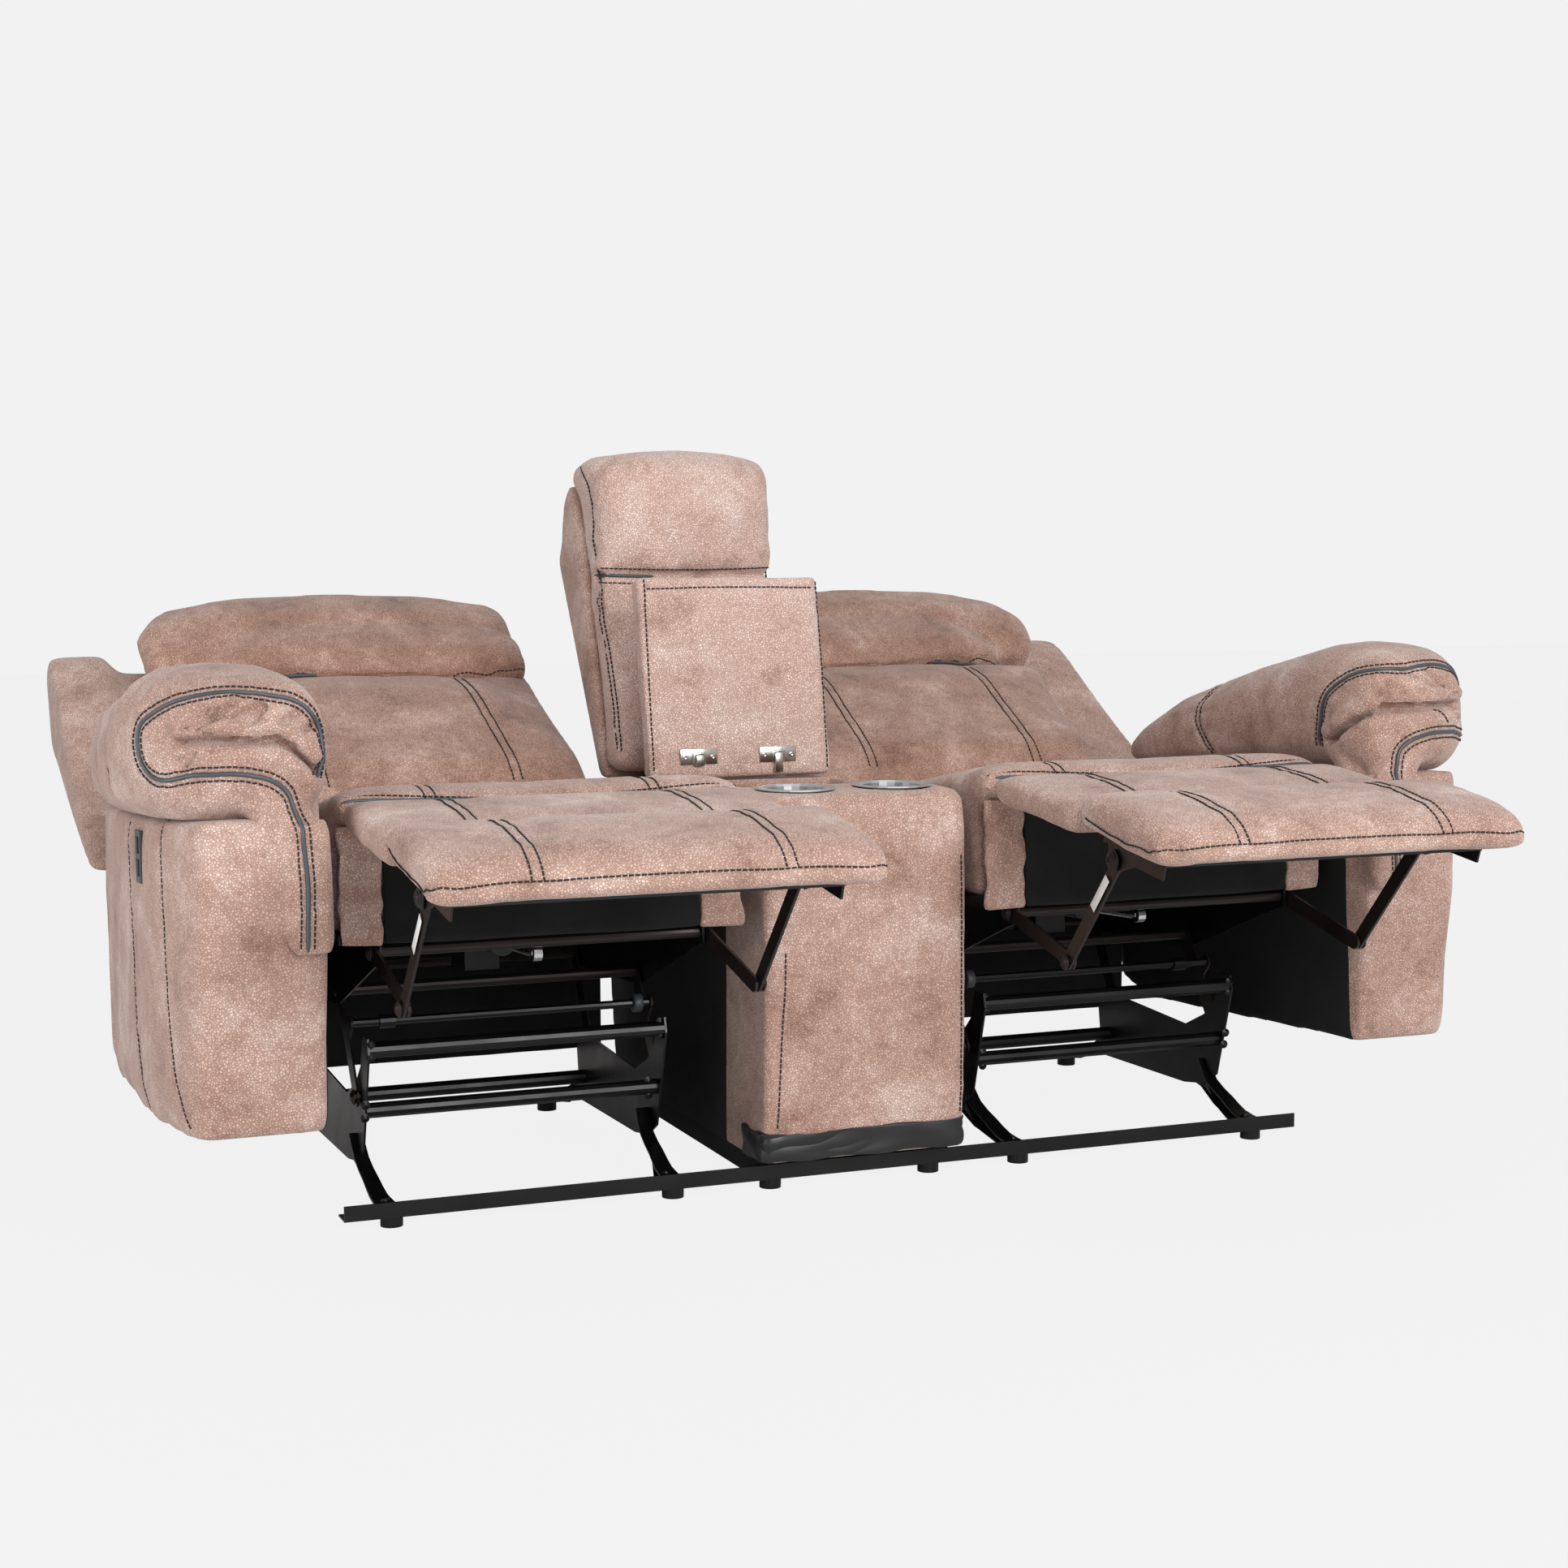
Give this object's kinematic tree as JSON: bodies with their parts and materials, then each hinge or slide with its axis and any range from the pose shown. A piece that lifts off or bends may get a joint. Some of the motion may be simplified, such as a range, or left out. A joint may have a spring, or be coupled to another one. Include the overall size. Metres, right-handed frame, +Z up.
{
  "type": "reclining sofa with console",
  "caption": "Two-seat power reclining sofa with a fixed storage console between the seats, shown with footrests out, outer backs reclined and console lid up.",
  "frame": {"origin": "on the floor, midway across the sofa and midway from the footrests to the reclined backs", "axes": "+X to the right as seen from the front, +Y to the back, +Z up"},
  "size_m": [2.052, 1.7984, 1.0713],
  "materials": {
    "brown": "dusty pink-brown suede-like polyester with fine pebble grain",
    "black_cloth": "plain black lining cloth",
    "black_steel": "satin black paint",
    "link_steel": "brown-black plated steel",
    "bright_steel": "brushed and nickelled steel",
    "grey_plastic": "matte dark grey",
    "black_plastic": "matte black"
  },
  "bodies": {
    "base": {"front_rail": "black_steel", "console_box": "brown", "console_plinth": "black_cloth", "cup_holder_left": "bright_steel", "cup_holder_right": "bright_steel", "console_back_frame": "brown", "console_back_cushion": "brown", "console_headrest": "brown", "base_frame_left": "black_steel", "base_frame_right": "black_steel"},
    "lid": {"console_lid": "brown", "lid_hinge_left": "bright_steel", "lid_hinge_right": "bright_steel"},
    "front_swing_left": {"front_links_left": "link_steel", "drive_tube_left": "black_steel"},
    "rear_swing_left": {"rear_links_left": "link_steel"},
    "seat_left": {"seat_frame_left": "black_steel", "seat_cushion_left": "brown", "seat_front_left": "brown", "rear_apron_left": "black_cloth", "arm_body_left": "brown", "arm_pillow_left": "brown", "arm_band_left": "brown", "switch_plate_left": "grey_plastic", "actuator_motor_left": "black_plastic"},
    "lower_left": {"lower_links_left": "link_steel"},
    "upper_left": {"upper_links_left": "link_steel"},
    "foot_left": {"footrest_board_left": "black_steel", "footrest_pad_left": "brown"},
    "chaise_left": {"chaise_pad_left": "brown"},
    "back_left": {"back_frame_left": "brown", "back_cushion_left": "brown", "headrest_left": "brown"},
    "rod_left": {"actuator_rod_left": "bright_steel"},
    "press_open_left": {"button_open_left": "black_plastic"},
    "press_close_left": {"button_close_left": "black_plastic"},
    "front_swing_right": {"front_links_right": "link_steel", "drive_tube_right": "black_steel"},
    "rear_swing_right": {"rear_links_right": "link_steel"},
    "seat_right": {"seat_frame_right": "black_steel", "seat_cushion_right": "brown", "seat_front_right": "brown", "rear_apron_right": "black_cloth", "arm_body_right": "brown", "arm_pillow_right": "brown", "arm_band_right": "brown", "switch_plate_right": "grey_plastic", "actuator_motor_right": "black_plastic"},
    "lower_right": {"lower_links_right": "link_steel"},
    "upper_right": {"upper_links_right": "link_steel"},
    "foot_right": {"footrest_board_right": "black_steel", "footrest_pad_right": "brown"},
    "chaise_right": {"chaise_pad_right": "brown"},
    "back_right": {"back_frame_right": "brown", "back_cushion_right": "brown", "headrest_right": "brown"},
    "rod_right": {"actuator_rod_right": "bright_steel"},
    "press_open_right": {"button_open_right": "black_plastic"},
    "press_close_right": {"button_close_right": "black_plastic"}
  },
  "joints": [
    {"name": "lid", "type": "hinge", "parent": "base", "child": "lid", "pos_m": [0, 0.07925, 0.546], "axis": [1, 0, 0], "range_deg": [0, 101]},
    {"name": "recline_left", "type": "hinge", "parent": "base", "child": "front_swing_left", "pos_m": [-0.468, -0.21175, 0.15], "axis": [1, 0, 0], "range_deg": [-39, 0]},
    {"name": "seat_level_left", "type": "hinge", "parent": "front_swing_left", "child": "seat_left", "pos_m": [-0.468, -0.11475, 0.2835], "axis": [1, 0, 0], "range_deg": [0, 42.4]},
    {"name": "rear_swing_left", "type": "hinge", "parent": "base", "child": "rear_swing_left", "pos_m": [-0.468, 0.10825, 0.137], "axis": [1, 0, 0], "range_deg": [-37.7, 0]},
    {"name": "back_lean_left", "type": "hinge", "parent": "seat_left", "child": "back_left", "pos_m": [-0.468, 0.21632, 0.40208], "axis": [1, 0, 0], "range_deg": [0, 46.6]},
    {"name": "footrest_left", "type": "hinge", "parent": "seat_left", "child": "lower_left", "pos_m": [-0.468, -0.38175, 0.37997], "axis": [1, 0, 0], "range_deg": [0, 125.8]},
    {"name": "upper_fold_left", "type": "hinge", "parent": "lower_left", "child": "upper_left", "pos_m": [-0.468, -0.56982, 0.3362], "axis": [1, 0, 0], "range_deg": [-94, 0]},
    {"name": "foot_tilt_left", "type": "hinge", "parent": "upper_left", "child": "foot_left", "pos_m": [-0.468, -0.71046, 0.49444], "axis": [1, 0, 0], "range_deg": [0, 48.9]},
    {"name": "chaise_fold_left", "type": "hinge", "parent": "seat_left", "child": "chaise_left", "pos_m": [-0.468, -0.43545, 0.56387], "axis": [1, 0, 0], "range_deg": [0, 85.2]},
    {"name": "rod_slide_left", "type": "slide", "parent": "seat_left", "child": "rod_left", "axis": [0, 0.9983, -0.0576], "range_m": [0, 0.1]},
    {"name": "press_open_left", "type": "slide", "parent": "seat_left", "child": "press_open_left", "axis": [1, 0, 0], "range_m": [0, 0.0015], "stiffness_N_per_m": 500},
    {"name": "press_close_left", "type": "slide", "parent": "seat_left", "child": "press_close_left", "axis": [1, 0, 0], "range_m": [0, 0.0015], "stiffness_N_per_m": 500},
    {"name": "recline_right", "type": "hinge", "parent": "base", "child": "front_swing_right", "pos_m": [0.468, -0.21175, 0.15], "axis": [1, 0, 0], "range_deg": [-39, 0]},
    {"name": "seat_level_right", "type": "hinge", "parent": "front_swing_right", "child": "seat_right", "pos_m": [0.468, -0.11475, 0.2835], "axis": [1, 0, 0], "range_deg": [0, 42.4]},
    {"name": "rear_swing_right", "type": "hinge", "parent": "base", "child": "rear_swing_right", "pos_m": [0.468, 0.10825, 0.137], "axis": [1, 0, 0], "range_deg": [-37.7, 0]},
    {"name": "back_lean_right", "type": "hinge", "parent": "seat_right", "child": "back_right", "pos_m": [0.468, 0.21632, 0.40208], "axis": [1, 0, 0], "range_deg": [0, 46.6]},
    {"name": "footrest_right", "type": "hinge", "parent": "seat_right", "child": "lower_right", "pos_m": [0.468, -0.38175, 0.37997], "axis": [1, 0, 0], "range_deg": [0, 125.8]},
    {"name": "upper_fold_right", "type": "hinge", "parent": "lower_right", "child": "upper_right", "pos_m": [0.468, -0.56982, 0.3362], "axis": [1, 0, 0], "range_deg": [-94, 0]},
    {"name": "foot_tilt_right", "type": "hinge", "parent": "upper_right", "child": "foot_right", "pos_m": [0.468, -0.71046, 0.49444], "axis": [1, 0, 0], "range_deg": [0, 48.9]},
    {"name": "chaise_fold_right", "type": "hinge", "parent": "seat_right", "child": "chaise_right", "pos_m": [0.468, -0.43545, 0.56387], "axis": [1, 0, 0], "range_deg": [0, 85.2]},
    {"name": "rod_slide_right", "type": "slide", "parent": "seat_right", "child": "rod_right", "axis": [0, 0.9983, -0.0576], "range_m": [0, 0.1]},
    {"name": "press_open_right", "type": "slide", "parent": "seat_right", "child": "press_open_right", "axis": [-1, 0, 0], "range_m": [0, 0.0015], "stiffness_N_per_m": 500},
    {"name": "press_close_right", "type": "slide", "parent": "seat_right", "child": "press_close_right", "axis": [-1, 0, 0], "range_m": [0, 0.0015], "stiffness_N_per_m": 500}
  ],
  "couplings": [
    {"joint": "seat_level_left", "follows": "recline_left", "ratio": -1.0846},
    {"joint": "rear_swing_left", "follows": "recline_left", "ratio": 0.9641},
    {"joint": "back_lean_left", "follows": "recline_left", "ratio": -1.1923},
    {"joint": "upper_fold_left", "follows": "footrest_left", "ratio": -0.74563},
    {"joint": "foot_tilt_left", "follows": "footrest_left", "ratio": 0.38792},
    {"joint": "chaise_fold_left", "follows": "footrest_left", "ratio": 0.67568},
    {"joint": "rod_slide_left", "follows": "footrest_left", "m_per_rad": 0.0455},
    {"joint": "seat_level_right", "follows": "recline_right", "ratio": -1.0846},
    {"joint": "rear_swing_right", "follows": "recline_right", "ratio": 0.9641},
    {"joint": "back_lean_right", "follows": "recline_right", "ratio": -1.1923},
    {"joint": "upper_fold_right", "follows": "footrest_right", "ratio": -0.74563},
    {"joint": "foot_tilt_right", "follows": "footrest_right", "ratio": 0.38792},
    {"joint": "chaise_fold_right", "follows": "footrest_right", "ratio": 0.67568},
    {"joint": "rod_slide_right", "follows": "footrest_right", "m_per_rad": 0.0455}
  ]
}
